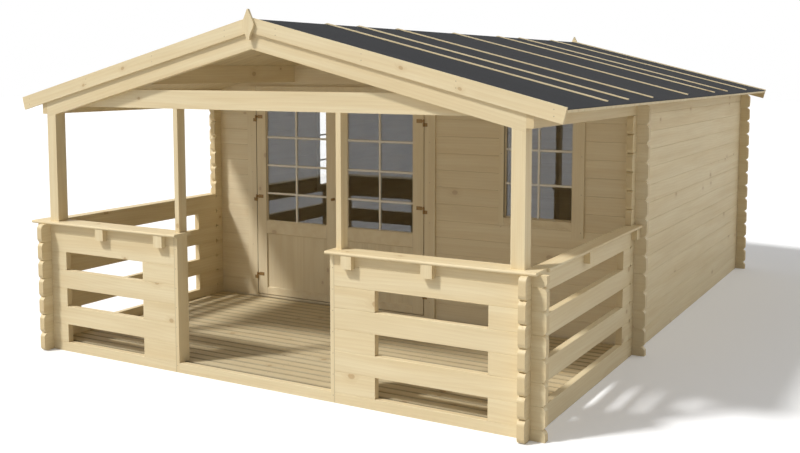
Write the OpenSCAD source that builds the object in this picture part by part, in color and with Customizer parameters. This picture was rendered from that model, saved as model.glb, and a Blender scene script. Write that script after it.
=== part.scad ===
// Garden log cabin with a roofed veranda, notched log corners and a felted gable roof.
// Millimetres, +Z up, front towards -Y. The origin is at ground level, under the middle of the whole part.

/* [Logs] */
// Thickness of a log
log_t = 44; // [34:1:60]
// Height of one course of logs
log_h = 133; // [125:1:145]
// How far a log runs on past the wall it crosses
log_stub = 88; // [60:1:120]
// Radius that rounds a log's end
end_r = 32; // [10:1:45]
// Bevel along a log's long edges
log_bevel = 2; // [1:0.5:5]
// Open seam between two courses
seam = 0.4; // [0.2:0.1:1]
// Gap at notches and other seats
seat = 0.3; // [0.2:0.1:0.5]

/* [Plan] */
// Width over the side walls
cabin_w = 3800; // [3700:10:4000]
// Front panel's face to the face of the cabin's front wall
veranda_d = 1930; // [1850:10:2200]
// Depth of the cabin over its front and rear walls
cabin_d = 3722; // [3400:10:4400]
// Courses in a side wall
wall_courses = 14; // [14:1:15]

/* [Veranda panels] */
// Sideways shift of the entrance from the ridge line
entry_x = -32; // [-40:1:40]
// Clear width of the entrance
entry_w = 1227; // [1100:1:1260]
// Courses in a veranda panel
panel_courses = 7; // [5:2:7]
// Entrance's middle to the near end of a front gap
gap_near = 931; // [850:1:1000]
// Entrance's middle to the far end of a front gap
gap_far = 1674; // [1500:1:1700]
// Front face to the near end of a side gap
side_gap_near = 266; // [200:1:400]
// Cabin's front wall to the gaps of the right rail
right_gap_far = 254; // [240:1:400]
// Cabin's front wall to the gaps of the left rail
left_gap_far = 316; // [240:1:400]
// Thickness of the board that closes a panel's end
end_board_t = 30; // [20:1:40]
// Depth of the board that closes a panel's end
end_board_d = 102; // [80:1:118]
// Thickness of a panel's cap board
cap_t = 20; // [16:1:28]
// Overhang of a front cap outside the panel
cap_out = 45; // [41:1:60]
// Overhang of a side cap outside its rail
side_cap_out = 60; // [41:1:70]
// Reach of a front cap inwards from the panel's outer face
cap_in = 120; // [119:1:140]
// Entrance's middle to a front cap's outer end
cap_end = 1972; // [1950:1:1990]
// Overhang of a front cap past the end board
cap_nose = 14; // [0:1:16]
// Width of a block under a cap
block_w = 75; // [50:1:90]
// Height of a block under a cap
block_h = 80; // [60:1:110]
// Depth of a block under a cap
block_d = 40; // [25:1:40]
// Entrance's middle to each front block
block_xs = [753, 1299]; // [700:1:1600]
// Front face to a side cap's front block
block_y = 890; // [300:1:1000]

/* [Posts and front truss] */
// Corner post's width
post_w = 84; // [70:1:100]
// Corner post's depth
post_d = 88; // [88:1:110]
// Entrance post's width
entry_post_w = 36; // [30:1:60]
// Entrance post's depth
entry_post_d = 74; // [50:1:74]
// Entrance's middle to the inner face of an entrance post
entry_post_x = 631; // [631:1:660]
// Rafter's depth, measured straight down
rafter_h = 168; // [120:1:180]
// Thickness of rafters and tie beam
truss_t = 44; // [38:1:44]
// Height of the tie beam
tie_h = 124; // [90:1:130]
// Ground to the underside of the tie beam
tie_z = 1787; // [1700:1:1795]

/* [Roof] */
// Slope of the roof
roof_slope = 14.15; // [13:0.05:16]
// Width of the roof from eave to eave
roof_w = 4185; // [4180:5:4400]
// Rise of the roof's lower face over the last whole course, at the side walls' outer faces
wall_rise = 3; // [2:1:20]
// Thickness of the roof boards
board_t = 16; // [14:1:24]
// Thickness of the roof felt
felt_t = 3; // [2:0.5:6]
// Roof's reach behind the rear wall, without the barge boards
rear_reach = 237; // [150:1:350]
// Height of a barge board, measured straight down
barge_h = 95; // [80:1:120]
// Thickness of a barge board
barge_t = 17; // [14:1:24]
// Rise of a barge board over the felt
barge_rise = 10; // [6:0.5:14]
// Thickness of a finial
finial_t = 18; // [14:1:24]
// Width of a finial
finial_w = 96; // [70:1:120]
// Rise of a finial's tip over the barge boards
finial_up = 50; // [30:1:80]
// Drop of a finial's foot below the barge boards' peak
finial_down = 142; // [110:1:170]
// Purlin's width
purlin_w = 44; // [34:1:60]
// Purlin's height
purlin_h = 129; // [100:1:140]
// Ridge line to the middle of a side purlin
purlin_x = 1070; // [900:10:1200]
// Width of a felt batten
batten_w = 18; // [14:1:30]
// Height of a felt batten
batten_h = 8; // [6:1:14]
// Eave to a batten's lower end
batten_short = 62; // [30:1:120]
// Front face to each batten's middle
batten_ys = [865, 1290, 1860, 2850, 3790, 4320, 5190]; // [100:5:5300]

/* [Floors] */
// Thickness of the veranda deck
deck_t = 24; // [18:1:30]
// Deck's top below the sill's top
deck_drop = 2.5; // [0:0.5:6]
// Thickness of the cabin floor
floor_t = 19; // [16:1:28]
// Width of a floor bearer
bearer_w = 44; // [38:1:70]
// Bearers side by side
bearer_count = 5; // [3:2:9]
// Floor's gap to the walls
floor_gap = 4; // [2:1:10]

/* [Door] */
// Ridge line to the line where the door leaves meet
door_x = -621; // [-640:1:-600]
// Clear width between the jambs
door_w = 1660; // [1560:10:1680]
// Ground to the underside of a leaf
leaf_z = 90; // [88:1:100]
// Height of a leaf
leaf_h = 1717; // [1600:1:1720]
// Thickness of a leaf
leaf_t = 40; // [36:1:44]
// Running gap round a leaf
door_gap = 7; // [7:0.5:9]
// Width of a leaf's stiles
stile_w = 97; // [80:1:110]
// Height of a leaf's top rail
top_rail_h = 95; // [80:1:110]
// Height of a leaf's bottom rail
bottom_rail_h = 58; // [50:1:90]
// Bottom of a leaf to the top of its lower panel
panel_top = 542; // [480:1:600]
// Height of the rail between panel and glass
mid_rail_h = 106; // [90:1:130]
// Thickness of the lower panel
leaf_panel_t = 18; // [12:1:24]
// Thickness of a pane
glass_t = 4; // [3:1:6]
// Thickness of a jamb inside the opening
jamb_t = 36; // [30:1:45]
// Width of the jamb's trim on the wall
jamb_trim_w = 95; // [80:1:100]
// Thickness of the trims on the wall
trim_t = 16; // [12:1:20]
// Width of the stop that a leaf closes against
stop_w = 12; // [8:1:16]
// Radius of a hinge knuckle
knuckle_r = 7; // [6:0.5:9]
// Gap between a knuckle and the leaf's face
knuckle_gap = 0.5; // [0.4:0.1:1]
// Length of a hinge knuckle
knuckle_l = 28; // [20:1:40]
// Radius of a hinge pin
pin_r = 4; // [3:0.5:5]
// Radial play of a hinge pin
pin_play = 0.08; // [0.05:0.01:0.1]
// Length of a hinge's strap on the leaf
strap_l = 62; // [40:1:80]
// Height of a hinge's strap
strap_h = 16; // [12:1:20]
// Thickness of a hinge's strap
strap_t = 3; // [2:0.5:4]
// Bottom of a leaf to the middle of each hinge
hinge_zs = [160, 846, 1540]; // [100:1:1600]
// Bottom of a leaf to the door knob
knob_z = 881; // [800:1:1000]
// Meeting line to the door knob
knob_x = 26; // [26:1:60]
// Radius of the door knob
knob_r = 12; // [10:1:18]
// Reach of the door knob from the leaf
knob_out = 40; // [36:1:60]

/* [Windows] */
// Courses of the front wall under the windows
window_base_courses = 6; // [5:1:6]
// Courses that a window is high
window_rows = 7; // [6:1:7]
// Width of a window's glass
pane_w = 542; // [450:1:560]
// Height of a window's bottom rail
sill_rail_h = 65; // [50:1:80]
// Height of a window's top rail
head_rail_h = 88; // [60:1:100]
// Width of a window's stiles
frame_w = 42; // [41:1:50]
// Ridge line to the middle of the front window
front_pane_x = 1161; // [1140:1:1180]
// Front face to the middle of the left window
left_pane_y = 3750; // [3400:1:4200]
// Width of the front window's right trim
side_trim_w = 93; // [60:1:100]
// Reach of the right trim below the other trims
side_trim_drop = 72; // [40:1:90]
// Width of the front window's other trims
trim_w = 40; // [30:1:41]

/* [Hidden] */
$fn = 48;
// Overshoot of cutters past a face
over = 1;
tan_slope = tan(roof_slope);
sin_slope = sin(roof_slope);
cos_slope = cos(roof_slope);
half_w = cabin_w / 2;
inner_w = half_w - log_t;
rear_y = veranda_d + cabin_d;
wall_top = wall_courses * log_h;
panel_top_z = panel_courses * log_h;
cap_z = panel_top_z + cap_t;
rail_end = veranda_d - log_stub - seat;
// Roof's lower face over the ridge line, then the tops of the boards, the felt and the barge boards
ridge_under = wall_top + wall_rise + half_w * tan_slope;
ridge_board = ridge_under + board_t / cos_slope;
ridge_felt = ridge_board + seat + felt_t / cos_slope;
ridge_barge = ridge_felt + barge_rise;
gable_last = floor(ridge_under / log_h);
roof_rear = rear_y + rear_reach;
back_y = roof_rear + barge_t + finial_t;
mid_y = (back_y - log_stub) / 2;
// Door opening in the wall, and the leaves' hinge lines
sill_z = log_h / 2;
leaf_w = (door_w - 3 * door_gap) / 2;
leaf_glass_z = panel_top + mid_rail_h;
door_cut = door_w / 2 + jamb_t + seat;
door_face = veranda_d - trim_t;
step_z = leaf_z - door_gap;
head_z = leaf_z + leaf_h + door_gap;
// Stop behind a closed leaf, measured from the wall's outer face
stop_y = leaf_t - trim_t + door_gap;
stop_d = log_t + trim_t - stop_y;
axis_out = knuckle_r + knuckle_gap;
strap_y = axis_out - seat - strap_t;
floor_z = sill_z - seam;
deck_z = floor_z - deck_drop;
// Window openings follow the courses: those of the side walls lie half a course lower
opening_w = pane_w + 2 * frame_w;
opening_z = (window_base_courses + 0.5) * log_h;
opening_h = window_rows * log_h;
left_drop = log_h / 2;
pane_z = opening_z + sill_rail_h;
pane_h = opening_h - sill_rail_h - head_rail_h;

pine = [0.88, 0.80, 0.62];
pine_shade = [0.80, 0.71, 0.53];
felt_grey = [0.25, 0.25, 0.26];
brass = [0.42, 0.31, 0.17];
pane_grey = [0.45, 0.47, 0.50, 0.5];

// Everything below is laid out from the front panel's face, then moved to the middle of the part.
module placed() {
  translate([0, -mid_y, 0]) children();
}

// The same piece on both sides of the line at x
module both_sides(x = 0) {
  for (s = [0, 1]) translate([x, 0, 0]) mirror([s, 0, 0]) children();
}

// Profile in the XZ plane, run along +Y from y by depth d
module run_y(y, d) {
  translate([0, y + d, 0]) rotate([90, 0, 0]) linear_extrude(d) children();
}

// Profile in the YZ plane, run along +X from x by length l
module run_x(x, l) {
  translate([x, 0, 0]) rotate([90, 0, 90]) linear_extrude(l) children();
}

// Section of a log: flat faces with bevelled long edges, between heights lo and hi
module log_section(lo, hi) {
  c = log_bevel;
  polygon([[0, lo + c], [c, lo], [log_t - c, lo], [log_t, lo + c],
    [log_t, hi - c], [log_t - c, hi], [c, hi], [0, hi - c]]);
}

// Side view of a log from a to b, with its ends rounded where asked
module log_side(a, b, lo, hi, round_a, round_b) {
  ra = round_a ? end_r : 0;
  rb = round_b ? end_r : 0;
  translate([a + ra, lo]) square([b - rb - a - ra, hi - lo]);
  if (round_a) log_end(a + end_r, -end_r, lo, hi);
  if (round_b) log_end(b - end_r, 0, lo, hi);
}

// Rounded end of a log's side view
module log_end(x, reach, lo, hi) {
  translate([x + reach, lo + end_r]) square([end_r, hi - lo - 2 * end_r]);
  translate([x, lo + end_r]) circle(end_r);
  translate([x, hi - end_r]) circle(end_r);
}

// Log along +X from a to b, centred on height zc, with a half lap at each crossing in the list
module wall_log(a, b, zc, crossings = [], round_a = false, round_b = false, extra = 0) {
  base = zc - log_h / 2;
  lo = base > 0 ? base + seam / 2 : base;
  hi = zc + log_h / 2 - seam / 2 + extra;
  difference() {
    intersection() {
      run_x(a, b - a) log_section(lo, hi);
      run_y(0, log_t) log_side(a, b, lo, hi, round_a, round_b);
    }
    for (c = crossings) laps(c, zc);
    // A log that starts below the ground line is sawn off level
    if (lo < 0) translate([a - over, -over, -log_h]) cube([b - a + 2 * over, log_t + 2 * over, log_h]);
  }
}

// Half laps above and below a log where another one crosses it at c
module laps(c, zc) {
  size = [log_t + 2 * seat, log_t + 2 * over, log_h];
  translate([c - seat, -over, zc + log_h / 4 - seat / 2]) cube(size);
  translate([c - seat, -over, zc - log_h / 4 + seat / 2 - log_h]) cube(size);
}

// Logs of a side wall lie along Y: x is the face of the wall with the larger X
module along_y(x) {
  translate([x, 0, 0]) rotate([0, 0, 90]) children();
}

// Space under the roof, as a profile in the XZ plane
module under_roof(drop) {
  reach = roof_w / 2;
  top = ridge_under - drop;
  polygon([[-reach, -over], [reach, -over], [reach, top - reach * tan_slope], [0, top],
    [-reach, top - reach * tan_slope]]);
}

// Logs of one side wall: their front ends stand out before the cabin's front wall
module side_logs() {
  crossings = [veranda_d, rear_y - log_t];
  for (m = [0 : wall_courses - 2])
    wall_log(veranda_d - log_stub, rear_y + log_stub, (m + 0.5) * log_h, crossings, true, true);
}

// Logs of one side rail, from the front corner back to the ends of the wall's logs
module rail_logs(wall_to_gap) {
  for (m = [0 : panel_courses - 1]) {
    zc = (m + 0.5) * log_h;
    if (m % 2 == 0) {
      wall_log(-log_stub, rail_end, zc, [0], true, false);
    } else {
      wall_log(-log_stub, side_gap_near, zc, [0], true, false);
      wall_log(veranda_d - wall_to_gap, rail_end, zc);
    }
  }
}

module left_rail() {
  color(pine) placed() along_y(-inner_w) rail_logs(left_gap_far);
}

module right_rail() {
  color(pine) placed() along_y(half_w) rail_logs(right_gap_far);
}

// Top log of a side wall: it carries the eave, so it runs out over the veranda and is planed to the roof
module eave_log() {
  zc = (wall_courses - 0.5) * log_h;
  lo = zc - log_h / 2 + seam / 2;
  outer = wall_top + wall_rise - seat;
  difference() {
    translate([inner_w, 0, 0]) run_y(0, rear_y + log_stub) polygon([[0, lo + log_bevel],
      [log_bevel, lo], [log_t - log_bevel, lo], [log_t, lo + log_bevel],
      [log_t, outer], [0, outer + log_t * tan_slope]]);
    along_y(half_w) for (c = [veranda_d, rear_y - log_t]) laps(c, zc);
  }
}

module right_wall() {
  color(pine) placed() {
    along_y(half_w) side_logs();
    eave_log();
  }
}

module left_wall() {
  color(pine) placed() difference() {
    union() {
      along_y(-inner_w) side_logs();
      mirror([1, 0, 0]) eave_log();
    }
    translate([-half_w - over, left_pane_y - opening_w / 2 - seat, opening_z - left_drop - seam / 2])
      cube([log_t + 2 * over, opening_w + 2 * seat, opening_h + seam]);
  }
}

// Logs across the cabin, from the sill up into the gable, cut to the roof and round the purlins
module cross_wall(y) {
  a = half_w + log_stub;
  ends = [-half_w, inner_w];
  translate([0, y, 0]) difference() {
    intersection() {
      for (n = [0 : gable_last]) wall_log(-a, a, n * log_h, ends, true, true, n == gable_last ? log_h : 0);
      run_y(-over, log_t + 2 * over) under_roof(seat);
    }
    run_y(-over, log_t + 2 * over) for (x = [-purlin_x, 0, purlin_x]) purlin_pocket(x);
  }
}

module rear_wall() {
  color(pine) placed() cross_wall(rear_y - log_t);
}

module front_wall() {
  low = sill_z - seam / 2;
  color(pine_shade) placed() difference() {
    cross_wall(veranda_d);
    translate([door_x - door_cut, veranda_d - over, low])
      cube([2 * door_cut, log_t + 2 * over, head_z + jamb_t + seat - low]);
    translate([front_pane_x - opening_w / 2 - seat, veranda_d - over, opening_z - seam / 2])
      cube([opening_w + 2 * seat, log_t + 2 * over, opening_h + seam]);
  }
}

// Half log along the ground between the end boards: it edges the deck at the entrance
module front_sill() {
  reach = entry_w / 2 - seat;
  color(pine) placed() wall_log(entry_x - reach, entry_x + reach, 0);
}

// Logs of one front panel, from the entrance out to the corner: shift moves the entrance
module front_panel(shift) {
  near = entry_w / 2 + end_board_t + seat + shift;
  far = half_w + log_stub;
  difference() {
    for (n = [0 : panel_courses]) {
      if (n % 2 == 0 || n == panel_courses) {
        wall_log(near, far, n * log_h, [inner_w], false, true);
      } else {
        wall_log(near, gap_near + shift, n * log_h);
        wall_log(gap_far + shift, far, n * log_h, [inner_w], false, true);
      }
    }
    // The top log is sawn level under the cap
    translate([near - over, -over, panel_top_z]) cube([far - near + 2 * over, log_t + 2 * over, log_h]);
  }
}

module front_left_panel() {
  color(pine) placed() mirror([1, 0, 0]) front_panel(-entry_x);
}

module front_right_panel() {
  color(pine) placed() front_panel(entry_x);
}

// Boards that close the panels' ends at the entrance: to the ground in front, notched over the deck behind
module panel_end_boards() {
  color(pine) placed() both_sides(entry_x) run_x(entry_w / 2, end_board_t)
    polygon([[0, 0], [log_t, 0], [log_t, deck_z + seat], [end_board_d, deck_z + seat],
      [end_board_d, panel_top_z], [0, panel_top_z]]);
}

// Cap board with a rounded outer edge, along +X from a to b, out past the panel's face and in behind it
module cap_board(a, b, out, in) {
  r = cap_t / 2;
  translate([0, 0, panel_top_z]) run_x(a, b - a) {
    translate([r - out, 0]) square([in + out - r, cap_t]);
    translate([r - out, r]) circle(r);
  }
}

// Cap of a side rail, flush inside: its overhang runs on past the ends of the wall's logs
module side_cap() {
  difference() {
    cap_board(cap_in + seat, veranda_d - seat, side_cap_out, log_t);
    translate([rail_end, -seat, panel_top_z - over])
      cube([log_stub + over, log_t + over, cap_t + 2 * over]);
  }
}

module rail_caps() {
  color(pine) placed() {
    both_sides(entry_x) cap_board(entry_w / 2 - cap_nose, cap_end, cap_out, cap_in);
    both_sides() along_y(half_w) side_cap();
  }
}

// Blocks that carry the caps' overhang on the outside of the panels
module cap_blocks() {
  size = [block_w, block_d, block_h];
  z = panel_top_z - block_h;
  color(pine) placed() {
    both_sides(entry_x) for (x = block_xs) translate([x - block_w / 2, -block_d - seat, z]) cube(size);
    both_sides() along_y(half_w) for (y = [block_y, veranda_d - seat - block_w / 2])
      translate([y - block_w / 2, -block_d - seat, z]) cube(size);
  }
}

// Corner posts stand on the caps: the front half meets the rafter, the back half the tie beam
module corner_posts() {
  a = inner_w - seat - post_w;
  b = inner_w - seat;
  under = ridge_under - rafter_h - 2 * seat;
  color(pine) placed() both_sides() {
    run_y(0, truss_t)
      polygon([[a, cap_z], [b, cap_z], [b, under - b * tan_slope], [a, under - a * tan_slope]]);
    translate([a, truss_t, cap_z]) cube([post_w, post_d - truss_t, tie_z - seat - cap_z]);
  }
}

module entrance_posts() {
  color(pine) placed() both_sides(entry_x)
    translate([entry_post_x, truss_t, cap_z]) cube([entry_post_w, entry_post_d, tie_z - seat - cap_z]);
}

// Board that follows the right-hand slope from the ridge out to x: h is its depth straight down
module slope_board(top, h, x) {
  a = seam / 2;
  polygon([[a, top - a * tan_slope], [x, top - x * tan_slope],
    [x, top - h - x * tan_slope], [a, top - h - a * tan_slope]]);
}

// The same with its lower end sawn square to the slope
module square_ended_board(top, h, x) {
  a = seam / 2;
  t = h * cos_slope;
  polygon([[a, top - a * tan_slope], [x, top - x * tan_slope],
    [x - t * sin_slope, top - x * tan_slope - t * cos_slope], [a, top - h - a * tan_slope]]);
}

module front_rafters() {
  color(pine) placed() both_sides()
    run_y(0, truss_t - seat) slope_board(ridge_under - seat, rafter_h, inner_w - seat);
}

module tie_beam() {
  reach = inner_w - seat;
  color(pine) placed() intersection() {
    translate([-reach, truss_t, tie_z]) cube([2 * reach, truss_t, tie_h]);
    run_y(0, 2 * truss_t + over) under_roof(seat);
  }
}

// Purlin's section, topped by the slope it carries
module purlin_profile(x) {
  intersection() {
    translate([x - purlin_w / 2, purlin_low(x)]) square([purlin_w, 2 * purlin_h]);
    under_roof(seat);
  }
}

// Pocket for a purlin in a gable
module purlin_pocket(x) {
  translate([x - purlin_w / 2 - seat, purlin_low(x) - seat]) square([purlin_w + 2 * seat, 2 * purlin_h]);
}

function purlin_low(x) = ridge_under - abs(x) * tan_slope - purlin_h;

module purlins() {
  color(pine_shade) placed() for (x = [-purlin_x, 0, purlin_x])
    run_y(truss_t, roof_rear - truss_t - seat) purlin_profile(x);
}

// Boards of one slope, laid over the purlins
module roof_boards() {
  run_y(0, roof_rear) square_ended_board(ridge_board, board_t / cos_slope, roof_w / 2);
}

module roof_boards_right() {
  color(pine_shade) placed() roof_boards();
}

module roof_boards_left() {
  color(pine_shade) placed() mirror([1, 0, 0]) roof_boards();
}

// Felt laid over both slopes and folded at the ridge
module roof_felt() {
  x = roof_w / 2;
  low = felt_t / cos_slope;
  color(felt_grey) placed() run_y(0, roof_rear) polygon([[0, ridge_felt], [x, ridge_felt - x * tan_slope],
    [x, ridge_felt - low - x * tan_slope], [0, ridge_felt - low],
    [-x, ridge_felt - low - x * tan_slope], [-x, ridge_felt - x * tan_slope]]);
}

// Battens that hold the felt down, from the ridge to just short of the eave
module roof_battens() {
  h = batten_h / cos_slope;
  color(pine) placed() both_sides() for (y = batten_ys) run_y(y - batten_w / 2, batten_w)
    square_ended_board(ridge_felt + seat + h, h, roof_w / 2 - batten_short);
}

module barge_pair(y) {
  both_sides() run_y(y, barge_t) square_ended_board(ridge_barge, barge_h, roof_w / 2);
}

module front_barge_boards() {
  color(pine) placed() barge_pair(-barge_t);
}

module rear_barge_boards() {
  color(pine) placed() barge_pair(roof_rear);
}

// Half of a finial's outline about the ridge: hollow sides run from the shoulder to the tip and to the foot
module finial_half() {
  shoulder = finial_w / 2;
  neck = shoulder / 4;
  bow = 2 * shoulder;
  mid = finial_up - shoulder * 2;
  difference() {
    polygon([[0, finial_up], [neck / 4, finial_up], [shoulder, mid],
      [neck, -finial_down], [0, -finial_down]]);
    translate([shoulder + neck, finial_up]) circle(r = shoulder);
    translate([bow + neck, mid - bow]) circle(r = bow);
  }
}

module finial(y) {
  run_y(y, finial_t - seat) translate([0, ridge_barge]) {
    finial_half();
    mirror([1, 0]) finial_half();
  }
}

module front_finial() {
  color(pine) placed() finial(-barge_t - finial_t);
}

module rear_finial() {
  color(pine) placed() finial(roof_rear + barge_t + seat);
}

module veranda_deck() {
  w = 2 * (inner_w - floor_gap);
  color(pine_shade) placed() translate([-w / 2, log_t + floor_gap, deck_z - deck_t])
    cube([w, veranda_d - log_t - 2 * floor_gap, deck_t]);
}

module cabin_floor() {
  w = 2 * (inner_w - floor_gap);
  color(pine_shade) placed() translate([-w / 2, veranda_d + log_t + floor_gap, floor_z - floor_t])
    cube([w, cabin_d - 2 * log_t - 2 * floor_gap, floor_t]);
}

// Bearers on the ground under the deck and the floor
module floor_bearers() {
  pitch = (2 * inner_w - bearer_w) / bearer_count;
  start = log_t + floor_gap;
  deck_l = veranda_d - log_t - 2 * floor_gap;
  floor_l = cabin_d - 2 * log_t - 2 * floor_gap;
  color(pine_shade) placed() for (i = [0 : bearer_count - 1]) {
    x = (i - (bearer_count - 1) / 2) * pitch - bearer_w / 2;
    translate([x, start, 0]) cube([bearer_w, deck_l, deck_z - deck_t - seat]);
    translate([x, veranda_d + start, 0]) cube([bearer_w, floor_l, floor_z - floor_t - seat]);
  }
}

// Section of a frame member's core in the opening, from the wall's outer face
module jamb_core() {
  translate([0, -trim_t]) square([jamb_t, log_t + 2 * trim_t]);
}

// Trims of a frame member, lapped over both faces of the logs
module jamb_trims() {
  for (y = [-trim_t, log_t + seat]) translate([0, y]) square([jamb_trim_w, trim_t - seat]);
}

// Frame of the double door: two jambs, a head and a threshold
module door_frame() {
  clear = door_w / 2 - seat;
  color(pine_shade) placed() translate([door_x, veranda_d, 0]) {
    both_sides() translate([door_w / 2, 0, sill_z]) {
      linear_extrude(head_z + jamb_t - sill_z) jamb_core();
      linear_extrude(head_z + jamb_trim_w - sill_z) jamb_trims();
      translate([-stop_w, stop_y, step_z + seat - sill_z])
        cube([2 * stop_w, stop_d, head_z - step_z - 2 * seat]);
    }
    translate([0, 0, head_z]) run_x(-clear, 2 * clear) mirror([1, 0]) rotate(90) {
      jamb_core();
      jamb_trims();
    }
    translate([-clear + stop_w, stop_y, head_z - stop_w]) cube([2 * (clear - stop_w), stop_d, 2 * stop_w]);
    translate([-clear, -trim_t, sill_z]) cube([2 * clear, log_t + 2 * trim_t, step_z - sill_z]);
  }
}

// Leaf in its own frame: x from the hinge edge, y from its outer face, z from its foot
module leaf() {
  clear = leaf_w - 2 * stile_w;
  difference() {
    cube([leaf_w, leaf_t, leaf_h]);
    translate([stile_w, -over, bottom_rail_h]) cube([clear, leaf_t + 2 * over, panel_top - bottom_rail_h]);
    translate([stile_w, -over, leaf_glass_z])
      cube([clear, leaf_t + 2 * over, leaf_h - top_rail_h - leaf_glass_z]);
  }
}

// Sheet of thickness t that fills a leaf between heights lo and hi
module leaf_fill(t, lo, hi) {
  translate([stile_w + seat, (leaf_t - t) / 2, lo + seat])
    cube([leaf_w - 2 * stile_w - 2 * seat, t, hi - lo - 2 * seat]);
}

module leaf_panel() {
  leaf_fill(leaf_panel_t, bottom_rail_h, panel_top);
}

module leaf_glass() {
  leaf_fill(glass_t, leaf_glass_z, leaf_h - top_rail_h);
}

// Knuckles and straps that turn with a leaf
module leaf_hinges() {
  for (z = hinge_zs) translate([-door_gap / 2, -axis_out, z]) difference() {
    union() {
      translate([0, 0, seat]) cylinder(r = knuckle_r, h = knuckle_l);
      translate([0, strap_y, seat + (knuckle_l - strap_h) / 2]) cube([strap_l, strap_t, strap_h]);
    }
    translate([0, 0, -over]) cylinder(r = pin_r + pin_play, h = knuckle_l);
  }
}

// Knuckles, pins and plates that stay on the jambs
module frame_hinges() {
  plate = strap_l / 2;
  color(brass) placed() translate([door_x, door_face, leaf_z]) both_sides()
    for (z = hinge_zs) translate([(door_gap - door_w) / 2, -axis_out, z - knuckle_l]) {
      cylinder(r = knuckle_r, h = knuckle_l - seat);
      cylinder(r = pin_r, h = 2 * knuckle_l - 3 * over);
      translate([-plate, strap_y, 0]) cube([plate, strap_t, knuckle_l - seat]);
    }
}

// Puts a leaf's piece in the opening: the right-hand leaf is the mirrored one
module hung(right) {
  placed() translate([door_x, door_face, leaf_z]) mirror([right ? 1 : 0, 0, 0])
    translate([door_gap - door_w / 2, 0, 0]) children();
}

module left_door_leaf() {
  color(pine_shade) hung(false) leaf();
}

module left_door_panel() {
  color(pine_shade) hung(false) leaf_panel();
}

module left_door_glass() {
  color(pane_grey) hung(false) leaf_glass();
}

module left_door_hinges() {
  color(brass) hung(false) leaf_hinges();
}

module right_door_leaf() {
  color(pine_shade) hung(true) leaf();
}

module right_door_panel() {
  color(pine_shade) hung(true) leaf_panel();
}

module right_door_glass() {
  color(pane_grey) hung(true) leaf_glass();
}

module right_door_hinges() {
  color(brass) hung(true) leaf_hinges();
}

// Turned knob on the left leaf's meeting stile: a rose, a stem and a ball
module door_knob() {
  rose_t = knob_r / 4;
  ball_y = knob_out - knob_r;
  color(brass) hung(false) translate([leaf_w - knob_x + door_gap / 2, -seat, knob_z]) rotate([90, 0, 0]) {
    cylinder(r = knob_r, h = rose_t);
    cylinder(r = knob_r / 2, h = ball_y);
    translate([0, 0, ball_y]) sphere(r = knob_r);
  }
}

// Frame of a window in the XZ plane, seen from outside
module window_ring() {
  difference() {
    translate([-opening_w / 2, opening_z]) square([opening_w, opening_h]);
    translate([-pane_w / 2, pane_z]) square([pane_w, pane_h]);
  }
}

module window_pane() {
  translate([seat - pane_w / 2, pane_z + seat]) square([pane_w - 2 * seat, pane_h - 2 * seat]);
}

module front_window_frame() {
  color(pine_shade) placed() translate([front_pane_x, 0, 0]) run_y(veranda_d, log_t + trim_t) window_ring();
}

module front_window_glass() {
  color(pane_grey) placed() translate([front_pane_x, 0, 0])
    run_y(veranda_d + (log_t - glass_t) / 2, glass_t) window_pane();
}

// Trims on the wall round the front window: the right one is wide and runs on below
module front_window_trim() {
  x = pane_w / 2 + seat;
  low = pane_z - trim_w;
  high = pane_z + pane_h;
  color(pine_shade) placed() translate([front_pane_x, 0, 0]) run_y(door_face, trim_t - seat) {
    translate([-x - trim_w, low]) square([trim_w, high + trim_w - low]);
    translate([x, low - side_trim_drop]) square([side_trim_w, high + trim_w - low + side_trim_drop]);
    for (z = [low, high + seat]) translate([-x - over, z]) square([2 * (x + over), trim_w - seat]);
  }
}

// Moves a window to the left wall: its outer side faces -X
module left_window() {
  placed() translate([-half_w, left_pane_y, -left_drop]) rotate([0, 0, 90]) mirror([0, 1, 0]) children();
}

module left_window_frame() {
  color(pine_shade) left_window() run_y(-trim_t, log_t + 2 * trim_t) window_ring();
}

module left_window_glass() {
  color(pane_grey) left_window() run_y((log_t - glass_t) / 2, glass_t) window_pane();
}

left_wall();
right_wall();
rear_wall();
front_wall();
left_rail();
right_rail();
front_sill();
front_left_panel();
front_right_panel();
panel_end_boards();
rail_caps();
cap_blocks();
corner_posts();
entrance_posts();
front_rafters();
tie_beam();
purlins();
roof_boards_left();
roof_boards_right();
roof_felt();
roof_battens();
front_barge_boards();
rear_barge_boards();
front_finial();
rear_finial();
veranda_deck();
cabin_floor();
floor_bearers();
door_frame();
frame_hinges();
left_door_leaf();
left_door_panel();
left_door_glass();
left_door_hinges();
right_door_leaf();
right_door_panel();
right_door_glass();
right_door_hinges();
door_knob();
front_window_frame();
front_window_glass();
front_window_trim();
left_window_frame();
left_window_glass();
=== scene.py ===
"""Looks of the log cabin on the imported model: pine, felt, glass and brass, and the thin pieces that the
solids leave out, which are the deck's slats, glazing bars, beads, hinge plates and nail heads."""
import math

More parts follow.
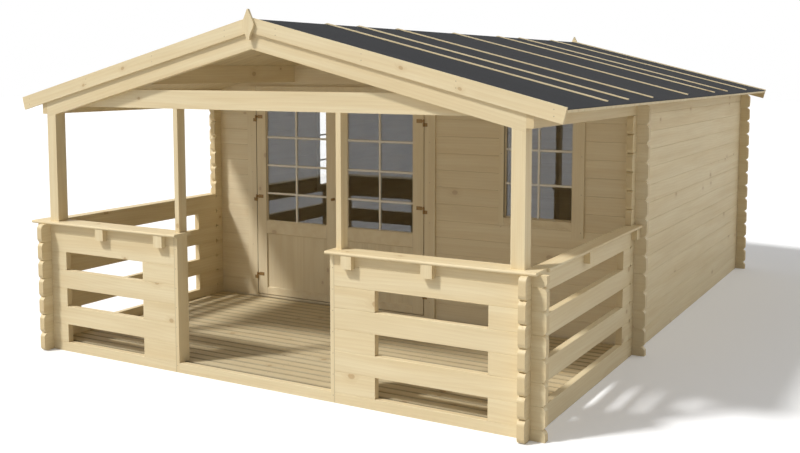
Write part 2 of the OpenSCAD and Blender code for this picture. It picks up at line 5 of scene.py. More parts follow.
import bmesh
import bpy
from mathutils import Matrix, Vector


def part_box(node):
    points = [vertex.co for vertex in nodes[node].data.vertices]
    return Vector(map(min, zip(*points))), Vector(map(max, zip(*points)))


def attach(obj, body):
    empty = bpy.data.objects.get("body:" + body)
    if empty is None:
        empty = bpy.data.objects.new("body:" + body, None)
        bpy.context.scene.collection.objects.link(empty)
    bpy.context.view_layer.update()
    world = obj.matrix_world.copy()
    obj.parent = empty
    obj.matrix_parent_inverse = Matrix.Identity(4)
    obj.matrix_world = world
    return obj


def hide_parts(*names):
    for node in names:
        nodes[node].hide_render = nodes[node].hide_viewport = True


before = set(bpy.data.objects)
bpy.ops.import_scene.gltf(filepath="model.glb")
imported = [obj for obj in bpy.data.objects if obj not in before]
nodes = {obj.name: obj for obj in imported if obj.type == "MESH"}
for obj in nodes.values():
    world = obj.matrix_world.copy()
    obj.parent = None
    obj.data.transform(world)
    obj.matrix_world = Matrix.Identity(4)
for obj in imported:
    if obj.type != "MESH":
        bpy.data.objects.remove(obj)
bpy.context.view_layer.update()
scene = bpy.context.scene

# Sizes shared with the solids, in metres
LOG_H = 0.133
MID_Y = 2.918
SLOPE = math.radians(14.15)
TAN = math.tan(SLOPE)
BATTEN_YS = [0.865, 1.29, 1.86, 2.85, 3.79, 4.32, 5.19]
CAP_IN = 0.12
JAMB_TRIM_W = 0.095

# Pitch, width and rounding of the deck's slats
PITCH = 0.0875
SLAT = 0.081
SLAT_ROUND = 0.005
# Widths of the boards that only show as lines, and a start that lies outside the cabin
BOARD_W = 0.096
PANEL_BOARD_W = 0.108
BOARD_START = 4.0
# Glazing bars: width, stand, rounding, and the level bars' share of the stand
BAR_W = 0.017
BAR_STAND = 0.008
BAR_ROUND = 0.003
LEVEL_BAR = 0.9
# Width and stand of the beads, the share of the width that is flat, the share of the stand at the inner
# edge, and how far they lie off the face
GLASS_BEAD = (0.009, 0.011)
PANEL_BEAD = (0.007, 0.005)
BEAD_FLAT = 0.45
BEAD_EDGE = 0.35
BEAD_LIFT = 0.0002
# Hinge plates: ends measured from the leaf's edge, half height, stand, rounding, and their screws
PLATE_ENDS = (0.012, 0.064)
PLATE_HALF_H = 0.015
PLATE_STAND = 0.0018
PLATE_ROUND = 0.001
SCREW_OUTS = (0.024, 0.052)
SCREW_RISE = 0.0115
SCREW_R = 0.0022
# Further in than this, a leaf's hinges are straps only
STRAP_FROM = 0.03
# How far bars and plates reach into what carries them
SUNK = 0.0005
# Nail heads: sides, (share of the radius, height) of the rings, and radii
NAIL_SIDES = 10
NAIL_RINGS = ((1.0, -0.0004), (1.0, 0.0006), (0.7, 0.0012))
BARGE_NAIL_R = 0.0032
TOP_NAIL_R = 0.0035
TRIM_NAIL_R = 0.003
# Places of the nails: a pair across a board, then along barge boards, battens and slats
NAIL_PAIR = (0.3, 0.7)
BARGE_NAIL_XS = (0.2, 0.82, 1.44, 2.02)
BATTEN_NAILS = 5
BATTEN_NAIL_IN = 0.08
DECK_NAIL_STEP = 0.735
# Nails up the end boards, the door's trims and the window's trims: distance in from the edge, and heights
END_NAIL_IN = 0.012
END_NAIL_ZS = [LOG_H * (k + 0.35) for k in range(7)]
JAMB_NAIL_ZS = [0.2 + 0.32 * k for k in range(6)]
TRIM_NAIL_IN = 0.02
TRIM_NAIL_DROPS = [0.05 + 0.28 * k for k in range(4)]


# Node trees

class Tree:
    """A material's or world's node tree, with short calls to add nodes and link them."""

    def __init__(self, tree):
        self.tree = tree
        tree.nodes.clear()

    def node(self, kind, **props):
        made = self.tree.nodes.new(kind)
        for key, value in props.items():
            setattr(made, key, value)
        return made

    def put(self, socket, value):
        """Link a socket to another one, or set it to a constant."""
        if isinstance(value, bpy.types.NodeSocket):
            self.tree.links.new(value, socket)
        else:
            socket.default_value = value

    def add(self, kind, inputs, **props):
        """Node with inputs filled in by name or number."""
        made = self.node(kind, **props)
        for key, value in inputs.items():
            self.put(made.inputs[key], value)
        return made

    def math(self, operation, *values):
        made = self.node("ShaderNodeMath", operation=operation)
        for socket, value in zip(made.inputs, values):
            self.put(socket, value)
        return made.outputs[0]

    def times(self, a, b):
        return self.math("MULTIPLY", a, b)

    def gap(self, a, b):
        """Distance between two numbers."""
        return self.math("ABSOLUTE", self.math("SUBTRACT", a, b))

    def blend(self, factor, a, b):
        """Number between a and b."""
        return self.add("ShaderNodeMix", {0: factor, 2: a, 3: b}, data_type="FLOAT").outputs[0]

    def mix(self, factor, a, b, how="MIX"):
        """Colour between a and b."""
        return self.add("ShaderNodeMix", {0: factor, 6: a, 7: b}, data_type="RGBA", blend_type=how).outputs[2]

    def ramp(self, value, low, high, to_low=0.0, to_high=1.0):
        """Number that goes from to_low to to_high while value goes from low to high."""
        made = self.node("ShaderNodeMapRange")
        for socket, number in zip(made.inputs, (value, low, high, to_low, to_high)):
            self.put(socket, number)
        return made.outputs[0]

    def spread(self, noise, to_low=0.0, to_high=1.0):
        """Ramp over the range in which most of a noise lies."""
        return self.ramp(noise, 0.3, 0.7, to_low, to_high)

    def split(self, vector):
        made = self.add("ShaderNodeSeparateXYZ", {0: vector})
        return made.outputs[0], made.outputs[1], made.outputs[2]

    def join(self, x, y, z):
        return self.add("ShaderNodeCombineXYZ", {0: x, 1: y, 2: z}).outputs[0]

    def stretch(self, place, sizes, shift=0.0):
        """Coordinates scaled one by one, and moved along the first."""
        (u, v, w), (a, b, c) = place, sizes
        return self.join(self.math("MULTIPLY_ADD", u, a, shift), self.times(v, b), self.times(w, c))

    def noise(self, vector, scale=1.0, detail=3.0, rough=0.5, warp=0.0):
        return self.add("ShaderNodeTexNoise", {"Vector": vector, "Scale": scale, "Detail": detail,
                                               "Roughness": rough, "Distortion": warp}).outputs[0]

    def place(self):
        return self.node("ShaderNodeTexCoord").outputs["Object"]

    def facing(self):
        return self.node("ShaderNodeTexCoord").outputs["Normal"]

    def bump(self, height, strength, distance):
        return self.add("ShaderNodeBump", {"Height": height, "Strength": strength,
                                           "Distance": distance}).outputs[0]

    def darken(self, tint, shade):
        """Colour times a grey."""
        return self.mix(1.0, tint, self.join(shade, shade, shade), "MULTIPLY")

    def shader(self, inputs):
        made = self.add("ShaderNodeBsdfPrincipled", inputs)
        self.add("ShaderNodeOutputMaterial", {"Surface": made.outputs[0]})


def colour(r, g, b):
    """Linear colour of an sRGB colour given from 0 to 255."""
    def lin(v):
        v /= 255
        return v / 12.92 if v <= 0.04045 else ((v + 0.055) / 1.055) ** 2.4
    return lin(r), lin(g), lin(b), 1.0


def material(name):
    mat = bpy.data.materials.new(name)
    mat.use_nodes = True
    return mat, Tree(mat.node_tree)


# Pine

CREAM = colour(234, 219, 183)
TAN_WOOD = colour(224, 204, 163)
STREAK = colour(204, 177, 132)
KNOT = colour(176, 140, 96)
KNOT_RIM = colour(150, 112, 72)
END = colour(216, 196, 155)
# Whitish colour that is mixed in: a wash on the glazing bars, and painted shade on the pieces in the
# veranda's shade
WASH_AND_SHADE_PALE = colour(246, 243, 234)
# Features per metre along the grain, across it and into the face
KNOT_CELLS = (3.2, 4.4, 0.0)
STREAKS = (0.8, 14.0, 14.0)
WANDERINGS = (0.55, 3.2, 3.2)
FIBRES = (4.0, 260.0, 260.0)
CLOUDS = (1.5, 4.0, 1.0)
RINGS_ACROSS = 42.0
RINGS_INTO = 30.0
END_RINGS = 230.0
# Share of the cells that hold a knot, and the radii of knots, in cells
KNOT_SHARE = 0.3
KNOT_RADII = (0.035, 0.085)
# Rings by which wandering and knots bend the grain, and by which end grain wanders
WANDER_BEND = 7.0
KNOT_BEND = 1.1
END_BEND = 3.0
# Shares of the tints
LATE_TINT = 0.13
FIBRE_TINT = 0.18
HALO_TINT = 0.28
KNOT_TINT = 0.5
RIM_TINT = 0.35
END_TINT = 0.8
ARC_TINT = 0.45
# Brightness left at the joints of rails and beside upright joints, and how far from them it is back to full
JOINT_SHADE, JOINT_FROM, JOINT_TO = 0.6, 0.0004, 0.0012
LINE_SHADE, LINE_FROM, LINE_TO = 0.72, 0.001, 0.007
# Heights in the bump
FIBRE_RISE = 0.5
LATE_RISE = 0.25
KNOT_RISE = -0.4
GROOVE_RISE = -0.8
# Spread of the places from which separate pieces take their grain, and pieces per metre of depth
SEED_SPREAD = 37.0
DEPTH_PIECES = 0.9
# Axis that the end grain faces
END_AXIS = {"x": 0, "flat_x": 0, "y": 1, "flat_y": 1, "z": 2}


def along(t, grain):
    """Coordinates of the wood: along the grain, across it on the face, and into the face.

    x, y and z are the axes along which standing pieces run, and flat_x and flat_y those of lying ones. caps
    turns at the corners of the rail caps, slope follows boards in the gable, and roof runs down the slopes.
    """
    x, y, z = t.split(t.place())
    if grain == "x":
        return x, z, y
    if grain == "y":
        return y, z, x
    if grain == "z":
        return z, t.math("ADD", x, y), t.math("SUBTRACT", x, y)
    if grain == "flat_x":
        return x, y, z
    if grain == "flat_y":
        return y, x, z
    if grain == "caps":
        side = t.math("GREATER_THAN", y, CAP_IN - MID_Y + 0.0001)
        return t.blend(side, x, y), t.blend(side, y, x), z
    run = t.math("ABSOLUTE", x)
    if grain == "slope":
        return run, t.math("MULTIPLY_ADD", run, TAN, z), y
    return run, y, z


def rail_stretches(t, level):
    """1 in the stretches that hold level rails, and the distance from the nearest of their ends."""
    x, y, _ = t.split(t.place())
    rails, joint = 0.0, None
    for axis, low, high in level:
        key = {"x": x, "y": y}[axis]
        inside = t.times(t.math("GREATER_THAN", key, low), t.math("LESS_THAN", key, high))
        rails = t.math("MAXIMUM", rails, inside)
        near = t.math("MINIMUM", t.gap(key, low), t.gap(key, high))
        joint = near if joint is None else t.math("MINIMUM", joint, near)
    return rails, joint


def knot_marks(t, place, shift, knots):
    """Knots, their rims and the halos round them: a few of the cells hold one."""
    cells = t.add("ShaderNodeTexVoronoi", {"Vector": t.stretch(place, KNOT_CELLS, shift), "Scale": 1.0,
                                           "Randomness": 0.9}, voronoi_dimensions="2D", feature="F1")
    lot, size, _ = t.split(cells.outputs["Color"])
    held = t.math("GREATER_THAN", lot, 1.0 - KNOT_SHARE * knots)
    near = t.math("DIVIDE", cells.outputs["Distance"], t.ramp(size, 0.0, 1.0, *KNOT_RADII))
    knot = t.times(held, t.ramp(near, 1.1, 0.6))
    rim = t.times(knot, t.ramp(near, 0.5, 0.95))
    halo = t.times(held, t.ramp(near, 3.2, 0.9))
    return knot, rim, halo


def end_grain(t, base, toward, v, w, wander):
    """Close arcs in place of streaks, on faces across the grain."""
    ends = t.ramp(t.math("ABSOLUTE", toward), 0.9, 0.97)
    across = t.math("PINGPONG", v, LOG_H / 2)
    into = t.math("PINGPONG", t.math("ADD", w, 0.02), 0.09)
    reach = t.math("SQRT", t.math("ADD", t.math("POWER", across, 2.0), t.math("POWER", into, 2.0)))
    arcs = t.math("FRACT", t.math("MULTIPLY_ADD", reach, END_RINGS, t.times(wander, END_BEND)))
    return t.mix(t.times(ends, END_TINT), base, t.mix(t.ramp(arcs, 0.2, 1.0, 0.0, ARC_TINT), END, STREAK))


def pine(name, grain, board=0.0, offset=0.0, tone=1.0, knots=1.0, seam_and_shade=0.0, groove=0.003, level=(),
         lines=(), pale=0.0):
    """Bare planed pine.

    board is the pitch of separate pieces, which differ a little in tone, with a dark seam between them;
    seam_and_shade sets how dark it is over the width groove, and where it is strong, as on the deck, the dark
    band is painted shade.
    level holds (axis, low, high) stretches in which upright wood gives way to rails with level grain.
    lines holds the X of upright joints beside which the wood is dark.
    pale is the share of a whitish colour: the glazing bars' own wash, and painted shade on the pieces that
    lie in the veranda's shade.
    """
    mat, t = material(name)
    u, v, w = along(t, grain)
    rails, joint = 0.0, None
    if level:
        rails, joint = rail_stretches(t, level)
        x, y, z = t.split(t.place())
        u = t.blend(rails, u, t.math("ADD", x, y))
        v = t.blend(rails, v, z)
    index, edge = 0.0, None
    if board:
        step = t.math("DIVIDE", t.math("ADD", v, offset), board)
        index = t.math("FLOOR", step)
        part = t.math("SUBTRACT", step, index)
        edge = t.times(t.math("MINIMUM", part, t.math("SUBTRACT", 1.0, part)), board)
    layer = t.math("ROUND", t.times(w, DEPTH_PIECES))
    seed = t.add("ShaderNodeTexWhiteNoise", {0: t.join(index, layer, rails)},
                 noise_dimensions="3D").outputs[0]
    shift = t.times(seed, SEED_SPREAD)
    place = (u, v, w)

    # Knots, long streaks, growth rings that bend round the knots, then the fine fibres
    knot, rim, halo = knot_marks(t, place, shift, knots)
    streaks = t.noise(t.stretch(place, STREAKS, shift), detail=4.0, rough=0.6, warp=0.4)
    wander = t.noise(t.stretch(place, WANDERINGS, shift), detail=2.0)
    phase = t.math("MULTIPLY_ADD", v, RINGS_ACROSS, t.times(w, RINGS_INTO))
    phase = t.math("MULTIPLY_ADD", wander, WANDER_BEND, t.math("MULTIPLY_ADD", halo, KNOT_BEND, phase))
    saw = t.math("FRACT", t.math("ADD", phase, shift))
    late = t.math("MINIMUM", t.ramp(saw, 0.25, 0.9), t.ramp(saw, 1.0, 0.92))
    fibres = t.noise(t.stretch(place, FIBRES, shift), rough=0.6, warp=0.2)
    cloud = t.noise(t.stretch(place, CLOUDS, shift), detail=2.0)

    base = t.mix(t.ramp(streaks, 0.34, 0.7), CREAM, TAN_WOOD)
    base = t.mix(t.times(late, LATE_TINT), base, STREAK)
    base = t.mix(t.ramp(fibres, 0.48, 0.8, 0.0, FIBRE_TINT), base, STREAK)
    base = t.mix(t.times(halo, HALO_TINT), base, STREAK)
    base = t.mix(t.times(knot, KNOT_TINT), base, KNOT)
    base = t.mix(t.times(rim, RIM_TINT), base, KNOT_RIM)
    # Pale share: painted shade on the pieces in the veranda's shade, and the bars' own whitish wash
    if pale:
        base = t.mix(pale, base, WASH_AND_SHADE_PALE)
    shade = t.times(t.spread(cloud, 0.975, 1.02), t.ramp(seed, 0.0, 1.0, 0.985 * tone, 1.005 * tone))
    # Dark band along board edges: a dark seam on walls, roof and floor, and painted shade along the deck's
    # slats
    if edge is not None:
        shade = t.times(shade, t.ramp(edge, 0.0, groove, 1.0 - seam_and_shade, 1.0))
    if joint is not None:
        shade = t.times(shade, t.ramp(joint, JOINT_FROM, JOINT_TO, JOINT_SHADE, 1.0))
    for line in lines:
        beside = t.gap(t.split(t.place())[0], line)
        shade = t.times(shade, t.ramp(beside, LINE_FROM, LINE_TO, LINE_SHADE, 1.0))
    base = t.darken(base, shade)
    if grain in END_AXIS and not level:
        base = end_grain(t, base, t.split(t.facing())[END_AXIS[grain]], v, w, wander)

    height = t.math("MULTIPLY_ADD", late, LATE_RISE, t.times(knot, KNOT_RISE))
    height = t.math("MULTIPLY_ADD", fibres, FIBRE_RISE, height)
    if edge is not None:
        height = t.math("ADD", height, t.ramp(edge, 0.0, groove, GROOVE_RISE, 0.0))
    t.shader({"Base Color": base, "Normal": t.bump(height, strength=0.3, distance=0.0006),
              "Specular IOR Level": 0.25, "Roughness": t.spread(fibres, 0.52, 0.66)})
    return mat


# Felt, glass and metal

FELT_DARK = colour(30, 31, 33)
FELT_GREY = colour(52, 53, 56)
# Patches of the felt per metre down the slope, along the ridge and upwards
FELT_PATCHES = (0.8, 2.6, 1.0)
# Width of the felt's strips and their start, then the width of a lap's line, in strips, and its brightness
FELT_STRIP = 0.98
FELT_START = 3.4
LAP_LINE = 0.006
LAP_SHADE = 0.75


def felt():
    """Charcoal roofing felt with mineral grains, soft patches and the laps between its strips."""
    mat, t = material("roofing_felt")
    u, v, w = along(t, "roof")
    grit = t.noise(t.place(), scale=420.0, detail=2.0, rough=0.7)
    patch = t.noise(t.stretch((u, v, w), FELT_PATCHES), rough=0.55)
    strip = t.math("FRACT", t.math("DIVIDE", t.math("ADD", v, FELT_START), FELT_STRIP))
    shade = t.times(t.spread(patch, 0.9, 1.08), t.ramp(strip, 0.0, LAP_LINE, LAP_SHADE, 1.0))
    tint = t.darken(t.mix(t.ramp(grit, 0.35, 0.7), FELT_DARK, FELT_GREY), shade)
    t.shader({"Base Color": tint, "Normal": t.bump(grit, strength=0.5, distance=0.0012),
              "Specular IOR Level": 0.15, "Roughness": t.spread(grit, 0.85, 0.97)})
    return mat


def glass(name, light, dark, ior):
    """Window glass: clear, with a faint film."""
    mat, t = material(name)
    film = t.noise(t.place(), scale=3.0, detail=4.0, rough=0.6)
    t.shader({"Base Color": t.mix(t.spread(film), dark, light), "Roughness": t.spread(film, 0.0, 0.025),
              "IOR": ior, "Transmission Weight": 1.0})
    return mat


def metal(name, light, dark, rough, shine):
    """Dull metal with handling marks."""
    mat, t = material(name)
    marks = t.noise(t.place(), scale=90.0, detail=4.0, rough=0.65)
    fine = t.noise(t.place(), scale=600.0, detail=2.0, rough=0.6)
    t.shader({"Base Color": t.mix(t.spread(marks), light, dark), "Metallic": shine,
              "Roughness": t.spread(marks, rough, rough + 0.2),
              "Normal": t.bump(fine, strength=0.25, distance=0.0003)})
    return mat


# Materials of the nodes

def span(node, axis):
    """Stretch of a node's box along an axis, for level grain between uprights."""
    low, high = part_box(node)
    return axis, getattr(low, axis), getattr(high, axis)


deck_low, deck_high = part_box("veranda_deck")
slat_count = int((deck_high.y - deck_low.y + PITCH - SLAT) / PITCH)
first = (deck_low.y + deck_high.y - (slat_count - 1) * PITCH - SLAT) / 2
slat_ys = [first + k * PITCH for k in range(slat_count)]
# Centres the deck pine's dark bands, which are painted shade along the slats' edges, on the slots between the
# slats
slat_start = (PITCH - SLAT) / 2 - slat_ys[0] + 2 * PITCH
frame_low, frame_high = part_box("door_frame")
board_low, board_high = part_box("panel_end_boards")
door_rails = (span("left_door_glass", "x"), span("right_door_glass", "x"))
frame_rails = (("x", frame_low.x + JAMB_TRIM_W, frame_high.x - JAMB_TRIM_W),)

# Pale share of the front wall and joinery, which is painted shade that cools and pales the wood where they
# lie in the veranda's shade, and the whitish wash of the glazing bars
PAINTED_SHADE_PALE = 0.16
BAR_WASH = 0.8

log_x = pine("log_pine_across", "x", board=LOG_H, offset=LOG_H / 2, knots=0.5, seam_and_shade=0.012)
log_y = pine("log_pine_along", "y", board=LOG_H, knots=0.3, seam_and_shade=0.025)
# Copy of the across-log pine for the front wall, which lies in the veranda's shade: its pale share is painted
# shade
wall_pine = pine("front_wall_pine", "x", board=LOG_H, offset=LOG_H / 2, knots=0.5, seam_and_shade=0.035,
                 pale=PAINTED_SHADE_PALE)
plank_x = pine("plank_across", "x", knots=1.2)
plank_y = pine("plank_along", "y")
plank_z = pine("plank_upright", "z", knots=0.8)
end_pine = pine("end_board_pine", "z", knots=0.5, lines=(board_low.x, board_high.x))
cap_pine = pine("cap_pine", "caps")
bearer_pine = pine("bearer_pine", "flat_y")
plank_slope = pine("plank_on_slope", "slope", knots=1.6)
roof_pine = pine("roof_boards_pine", "roof", board=BOARD_W, offset=BOARD_START, tone=0.97, seam_and_shade=0.45)
# The deck's wide dark bands along the slats' edges are painted shade beside the slots
deck_pine = pine("deck_pine", "flat_x", board=PITCH, offset=slat_start, tone=0.77, knots=0.5, seam_and_shade=0.42,
                 groove=0.02)
floor_pine = pine("floor_pine", "flat_y", board=BOARD_W, offset=BOARD_START, tone=0.97, seam_and_shade=0.5,
                  groove=0.002)
leaf_pine = pine("leaf_pine", "z", knots=0.5, level=door_rails, pale=PAINTED_SHADE_PALE)
panel_pine = pine("door_panel_pine", "z", board=PANEL_BOARD_W, offset=0.02, tone=0.98, knots=0.4, seam_and_shade=0.06,
                  groove=0.004, pale=PAINTED_SHADE_PALE)
jamb_pine = pine("jamb_pine", "z", knots=0.5, level=frame_rails, pale=PAINTED_SHADE_PALE)
sash_pine = pine("sash_pine", "z", knots=0.4, level=(span("front_window_glass", "x"),), pale=PAINTED_SHADE_PALE)
side_sash_pine = pine("side_sash_pine", "z", knots=0.4, level=(span("left_window_glass", "y"),))
bar_pine = pine("bar_pine", "z", knots=0.0, pale=BAR_WASH)
bead_pine = pine("bead_pine", "z", tone=0.98, knots=0.0, pale=PAINTED_SHADE_PALE)
felt_grey = felt()
pane = glass("pane", colour(250, 250, 248), colour(240, 241, 241), ior=1.65)
side_pane = glass("side_pane", colour(254, 254, 253), colour(249, 250, 249), ior=1.35)
brass = metal("brown_brass", colour(176, 142, 90), colour(140, 110, 66), rough=0.4, shine=0.2)
nail_steel = metal("dull_nail", colour(192, 178, 150), colour(160, 144, 116), rough=0.42, shine=0.5)

LOOKS = {
    log_y: ["left_wall", "right_wall", "left_rail", "right_rail"],
    log_x: ["rear_wall", "front_sill", "front_left_panel", "front_right_panel"],
    wall_pine: ["front_wall"],
    end_pine: ["panel_end_boards"],
    plank_z: ["corner_posts", "entrance_posts", "cap_blocks", "front_finial", "rear_finial"],
    cap_pine: ["rail_caps"],
    plank_slope: ["front_rafters", "front_barge_boards", "rear_barge_boards", "roof_battens"],
    plank_x: ["tie_beam"],
    plank_y: ["purlins"],
    roof_pine: ["roof_boards_left", "roof_boards_right"],
    felt_grey: ["roof_felt"],
    deck_pine: ["veranda_deck"],
    floor_pine: ["cabin_floor"],
    bearer_pine: ["floor_bearers"],
    leaf_pine: ["left_door_leaf", "right_door_leaf"],
    panel_pine: ["left_door_panel", "right_door_panel"],
    jamb_pine: ["door_frame"],
    sash_pine: ["front_window_frame", "front_window_trim"],
    side_sash_pine: ["left_window_frame"],
    pane: ["left_door_glass", "right_door_glass", "front_window_glass"],
    side_pane: ["left_window_glass"],
    brass: ["frame_hinges", "left_door_hinges", "right_door_hinges", "door_knob"],
}
for look, names in LOOKS.items():
    for name in names:
        mesh = nodes[name].data
        mesh.materials.clear()
        mesh.materials.append(look)


# Pieces

def piece(name, mesh, look, body):
    """Finished piece in the row frame, riding a body."""
    data = bpy.data.meshes.new(name)
    bmesh.ops.recalc_face_normals(mesh, faces=mesh.faces)
    mesh.to_mesh(data)
    mesh.free()
    data.materials.append(look)
    obj = bpy.data.objects.new(name, data)
    scene.collection.objects.link(obj)
    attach(obj, body)
    return obj


def box(mesh, low, high, bevel, segments=2):
    """Box with rounded edges, added to a bmesh."""
    made = bmesh.ops.create_cube(mesh, size=1.0)["verts"]
    for vert in made:
        vert.co = Vector([(high[i] + low[i]) / 2 + vert.co[i] * (high[i] - low[i]) for i in range(3)])
    edges = list({edge for vert in made for edge in vert.link_edges})
    bmesh.ops.bevel(mesh, geom=edges, offset=bevel, segments=segments, affect="EDGES", profile=0.6)


def nail(mesh, place, normal, radius):
    """Low domed nail head on a surface."""
    turn = Vector((0, 0, 1)).rotation_difference(Vector(normal)).to_matrix()
    angles = [k * math.tau / NAIL_SIDES for k in range(NAIL_SIDES)]
    rings = []
    for share, h in NAIL_RINGS:
        r = radius * share
        rings.append([mesh.verts.new(Vector(place) + turn @ Vector((r * math.cos(a), r * math.sin(a), h)))
                      for a in angles])
    for one, two in zip(rings, rings[1:]):
        for k in range(NAIL_SIDES):
            after = (k + 1) % NAIL_SIDES
            mesh.faces.new((one[k], one[after], two[after], two[k]))
    mesh.faces.new(rings[-1])
    mesh.faces.new(rings[0][::-1])


def pane_frame(node):
    """Ends of a flat node along its face, its heights, its faces, and a function from these to a point."""
    low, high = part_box(node)
    if high.x - low.x > high.y - low.y:
        return (low.x, high.x), (low.z, high.z), (low.y, high.y), lambda a, z, d: (a, d, z)
    return (low.y, high.y), (low.z, high.z), (low.x, high.x), lambda a, z, d: (d, a, z)


def beads(mesh, node, width, stand):
    """Mitred beads with a splayed inner edge, round a pane or panel on both of its faces."""
    (a0, a1), (z0, z1), faces, point = pane_frame(node)
    outline = ((0, BEAD_LIFT), (0, stand), (width * BEAD_FLAT, stand), (width, stand * BEAD_EDGE),
               (width, BEAD_LIFT))
    for face, out in zip(faces, (-1, 1)):
        loops = []
        for inset, rise in outline:
            corners = ((a0 + inset, z0 + inset), (a1 - inset, z0 + inset), (a1 - inset, z1 - inset),
                       (a0 + inset, z1 - inset))
            loops.append([mesh.verts.new(point(a, z, face + out * rise)) for a, z in corners])
        for one, two in zip(loops, loops[1:] + loops[:1]):
            for k in range(4):
                mesh.faces.new((one[k], one[(k + 1) % 4], two[(k + 1) % 4], two[k]))


def bars(mesh, node, columns, rows):
    """Glazing bars that divide a pane, on both faces of the glass."""
    (a0, a1), (z0, z1), faces, point = pane_frame(node)

    def put(u0, u1, low, high, rise):
        for start, end in ((faces[0] - rise, faces[0] + SUNK), (faces[1] - SUNK, faces[1] + rise)):
            box(mesh, point(u0, low, start), point(u1, high, end), BAR_ROUND)
    for k in range(1, columns):
        middle = a0 + (a1 - a0) * k / columns
        put(middle - BAR_W / 2, middle + BAR_W / 2, z0, z1, BAR_STAND)
    for k in range(1, rows):
        middle = z0 + (z1 - z0) * k / rows
        put(a0, a1, middle - BAR_W / 2, middle + BAR_W / 2, BAR_STAND * LEVEL_BAR)


def glazing(name, columns, rows, body, panel=None):
    """Bars and beads of one pane, and the beads of the panel under it."""
    grid = bmesh.new()
    bars(grid, name + "_glass", columns, rows)
    piece(name + "_bars", grid, bar_pine, body)
    edging = bmesh.new()
    beads(edging, name + "_glass", *GLASS_BEAD)
    if panel:
        beads(edging, panel, *PANEL_BEAD)
    piece(name + "_beads", edging, bead_pine, body)


def plates(side, sign):
    """Screwed plates under the straps of a leaf's hinges; sign points from the hinge edge into the leaf."""
    leaf_low, leaf_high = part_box(side + "_door_leaf")
    hinge = nodes[side + "_door_hinges"]
    edge = leaf_low.x if sign > 0 else leaf_high.x
    face = leaf_low.y - PLATE_STAND
    points = [hinge.matrix_world @ v.co for v in hinge.data.vertices]
    heights = sorted({round(p.z, 4) for p in points if sign * (p.x - edge) > STRAP_FROM})
    ends = sorted(edge + sign * end for end in PLATE_ENDS)
    mesh = bmesh.new()
    for bottom, top in zip(heights[::2], heights[1::2]):
        middle = (bottom + top) / 2
        box(mesh, (ends[0], face, middle - PLATE_HALF_H),
            (ends[1], leaf_low.y + SUNK, middle + PLATE_HALF_H), PLATE_ROUND)
        for out in SCREW_OUTS:
            for rise in (-SCREW_RISE, SCREW_RISE):
                nail(mesh, (edge + sign * out, face, middle + rise), (0, -1, 0), SCREW_R)
    piece(side + "_door_plates", mesh, brass, side + "_door")


glazing("left_door", 2, 4, "left_door", "left_door_panel")
glazing("right_door", 2, 4, "right_door", "right_door_panel")
glazing("front_window", 2, 3, "cabin")
glazing("left_window", 2, 3, "cabin")
plates("left", 1)
plates("right", -1)

# Deck of slats in place of the plain sheet
slats = bmesh.new()
for y in slat_ys:
    box(slats, (deck_low.x, y, deck_low.z), (deck_high.x, y + SLAT, deck_high.z), SLAT_ROUND, segments=3)
deck = piece("deck_slats", slats, deck_pine, "cabin")
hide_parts("veranda_deck")


# Nails

def slope_lines(node):
    """Heights at the ridge of the lowest and highest faces of a sloped node."""
    rises = [v.co.z + TAN * abs(v.co.x) for v in nodes[node].data.vertices]
    return min(rises), max(rises)


def barge_nails(mesh, node, side):
    """Pairs of nails along barge boards, on the face that looks to the front (-1) or to the rear (1)."""
    low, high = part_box(node)
    bottom, top = slope_lines(node)
    face = low.y if side < 0 else high.y
    for x in BARGE_NAIL_XS:
        for share in NAIL_PAIR:
            for sign in (-1, 1):
                z = bottom + (top - bottom) * share - TAN * x
                nail(mesh, (sign * x, face, z), (0, side, 0), BARGE_NAIL_R)


def batten_nails(mesh):
    """Nails along the tops of the roof battens."""
    top = slope_lines("roof_battens")[1]
    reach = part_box("roof_battens")[1].x - 2 * BATTEN_NAIL_IN
    for y in BATTEN_YS:
        for k in range(BATTEN_NAILS):
            x = BATTEN_NAIL_IN + reach * k / (BATTEN_NAILS - 1)
            for sign in (-1, 1):
                normal = (sign * math.sin(SLOPE), 0, math.cos(SLOPE))
                nail(mesh, (sign * x, y - MID_Y, top - TAN * x), normal, TOP_NAIL_R)


def deck_nails(mesh):
    """Pairs of nails in every slat, in five lines."""
    for y in slat_ys:
        for k in range(-2, 3):
            for share in NAIL_PAIR:
                nail(mesh, (k * DECK_NAIL_STEP, y + SLAT * share, deck_high.z), (0, 0, 1), TOP_NAIL_R)


def trim_nails(mesh, xs, face, zs):
    """Nails up boards that look to the front."""
    for x in xs:
        for z in zs:
            nail(mesh, (x, face, z), (0, -1, 0), TRIM_NAIL_R)


heads = bmesh.new()
barge_nails(heads, "front_barge_boards", -1)
barge_nails(heads, "rear_barge_boards", 1)
batten_nails(heads)
deck_nails(heads)
trim_low, trim_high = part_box("front_window_trim")
trim_nails(heads, (board_low.x + END_NAIL_IN, board_high.x - END_NAIL_IN), board_low.y, END_NAIL_ZS)
trim_nails(heads, (frame_low.x + JAMB_TRIM_W / 2, frame_high.x - JAMB_TRIM_W / 2), frame_low.y, JAMB_NAIL_ZS)
trim_nails(heads, (trim_low.x + TRIM_NAIL_IN, trim_high.x - TRIM_NAIL_IN), trim_low.y,
           [trim_high.z - drop for drop in TRIM_NAIL_DROPS])
piece("nail_heads", heads, nail_steel, "cabin")


# Stage, light and camera

FLOOR_HALF = 60.0
FLOOR_DROP = 0.0005
# Floor as it is seen, from patch to patch, then as it lights the cabin, and a glow that keeps it near white
FLOOR_SEEN = ((0.935, 0.95, 0.985, 1), (0.95, 0.965, 0.995, 1))
FLOOR_BOUNCE = (0.56, 0.545, 0.515, 1)
FLOOR_LIFT = 0.085
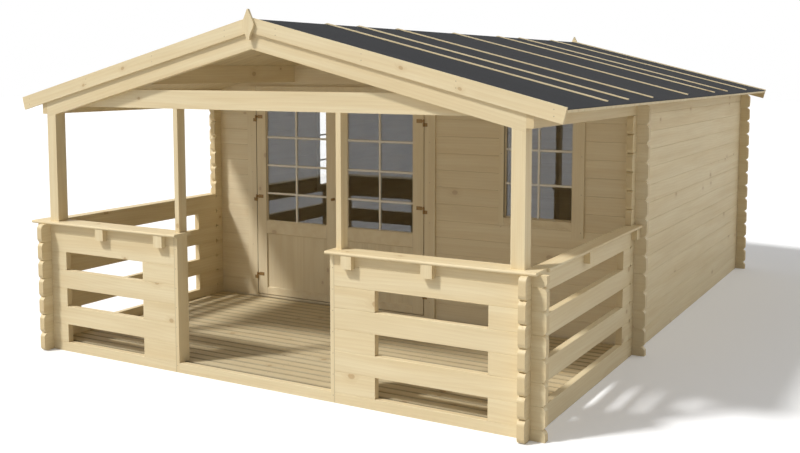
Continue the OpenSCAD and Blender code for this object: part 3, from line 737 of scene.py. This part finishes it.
# Sky that lights the cabin: colour, strength at the horizon and at its brightest height, share left overhead,
# share left at the front right, and share on the sun's side
SKY_COLOUR = (1.0, 0.99, 0.97, 1)
SKY_HEIGHT = 0.45
SKY_HORIZON = 0.24
SKY_BRIGHT = 0.7
SKY_TOP = 0.13
SKY_RIGHT = 0.35
SKY_SUNNY = 2.0
DIAGONAL = 0.7071
WHITE = (1, 1, 1, 1)
# Name, strength, angle in degrees, colour and direction of the suns
SUNS = (
    ("key", 2.7, 7, (1.0, 0.985, 0.955), (0.4235, 0.4774, -0.77)),
    ("fill", 0.5, 60, (1.0, 0.99, 0.97), (-0.75, -0.45, -0.48)),
)
# Camera: place, degrees that it looks down and turns left, lens, shift and sensor width
CAMERA_PLACE = (3.9298, -7.957, 2.0384)
CAMERA_DOWN = 5.22
CAMERA_LEFT = 29.5508
CAMERA_LENS = 45.077
CAMERA_SHIFT = -0.08
CAMERA_SENSOR = 36.0
CAMERA_FAR = 300.0


def seen_rays(t):
    """1 for rays that show the surroundings, 0 for those that light the object."""
    rays = t.node("ShaderNodeLightPath").outputs
    return t.math("MAXIMUM", rays["Is Camera Ray"],
                  t.math("MAXIMUM", rays["Is Glossy Ray"], rays["Is Transmission Ray"]))


def stage():
    """Wide pale floor under the cabin."""
    mesh = bmesh.new()
    bmesh.ops.create_grid(mesh, x_segments=1, y_segments=1, size=FLOOR_HALF)
    data = bpy.data.meshes.new("floor")
    mesh.to_mesh(data)
    mesh.free()
    mat, t = material("pale_floor")
    seen = seen_rays(t)
    cloud = t.noise(t.place(), scale=0.4, detail=2.0)
    tint = t.mix(seen, FLOOR_BOUNCE, t.mix(t.spread(cloud), *FLOOR_SEEN))
    diffuse = t.add("ShaderNodeBsdfDiffuse", {"Color": tint}).outputs[0]
    lift = t.add("ShaderNodeEmission", {"Strength": t.times(seen, FLOOR_LIFT)}).outputs[0]
    both = t.add("ShaderNodeAddShader", {0: diffuse, 1: lift}).outputs[0]
    t.add("ShaderNodeOutputMaterial", {"Surface": both})
    data.materials.append(mat)
    obj = bpy.data.objects.new("floor", data)
    obj.location = (0, 0, -FLOOR_DROP)
    scene.collection.objects.link(obj)


def sky():
    """White surroundings, and a soft sky that only lights the cabin."""
    world = bpy.data.worlds.new("studio")
    world.use_nodes = True
    scene.world = world
    t = Tree(world.node_tree)
    right, back, up = t.split(t.node("ShaderNodeTexCoord").outputs["Generated"])
    front_right = t.times(t.math("SUBTRACT", right, back), DIAGONAL)
    sunny = t.times(t.math("ADD", right, back), -DIAGONAL)
    glow = t.times(t.ramp(up, 0.0, SKY_HEIGHT, SKY_HORIZON, SKY_BRIGHT),
                   t.ramp(up, SKY_HEIGHT, 1.0, 1.0, SKY_TOP))
    glow = t.times(glow, t.ramp(front_right, 0.2, 0.9, 1.0, SKY_RIGHT))
    glow = t.times(glow, t.ramp(sunny, 0.1, 0.9, 1.0, SKY_SUNNY))
    ambient = t.add("ShaderNodeBackground", {0: SKY_COLOUR, 1: glow}).outputs[0]
    white = t.add("ShaderNodeBackground", {0: WHITE, 1: 1.0}).outputs[0]
    both = t.add("ShaderNodeMixShader", {0: seen_rays(t), 1: ambient, 2: white}).outputs[0]
    t.add("ShaderNodeOutputWorld", {"Surface": both})


def sun(name, energy, angle, tint, toward):
    light = bpy.data.lights.new(name, "SUN")
    light.energy = energy
    light.angle = math.radians(angle)
    light.color = tint
    lamp = bpy.data.objects.new(name, light)
    lamp.rotation_mode = "QUATERNION"
    lamp.rotation_quaternion = Vector(toward).to_track_quat("-Z", "Y")
    scene.collection.objects.link(lamp)


stage()
sky()
for values in SUNS:
    sun(*values)

lens = bpy.data.cameras.new("photo")
lens.sensor_width = CAMERA_SENSOR
lens.lens = CAMERA_LENS
lens.shift_y = CAMERA_SHIFT
lens.clip_end = CAMERA_FAR
camera = bpy.data.objects.new("photo", lens)
camera.location = CAMERA_PLACE
camera.rotation_euler = (math.radians(90 - CAMERA_DOWN), 0, math.radians(CAMERA_LEFT))
scene.collection.objects.link(camera)
scene.camera = camera
scene.view_settings.view_transform = "Standard"

bpy.context.view_layer.update()
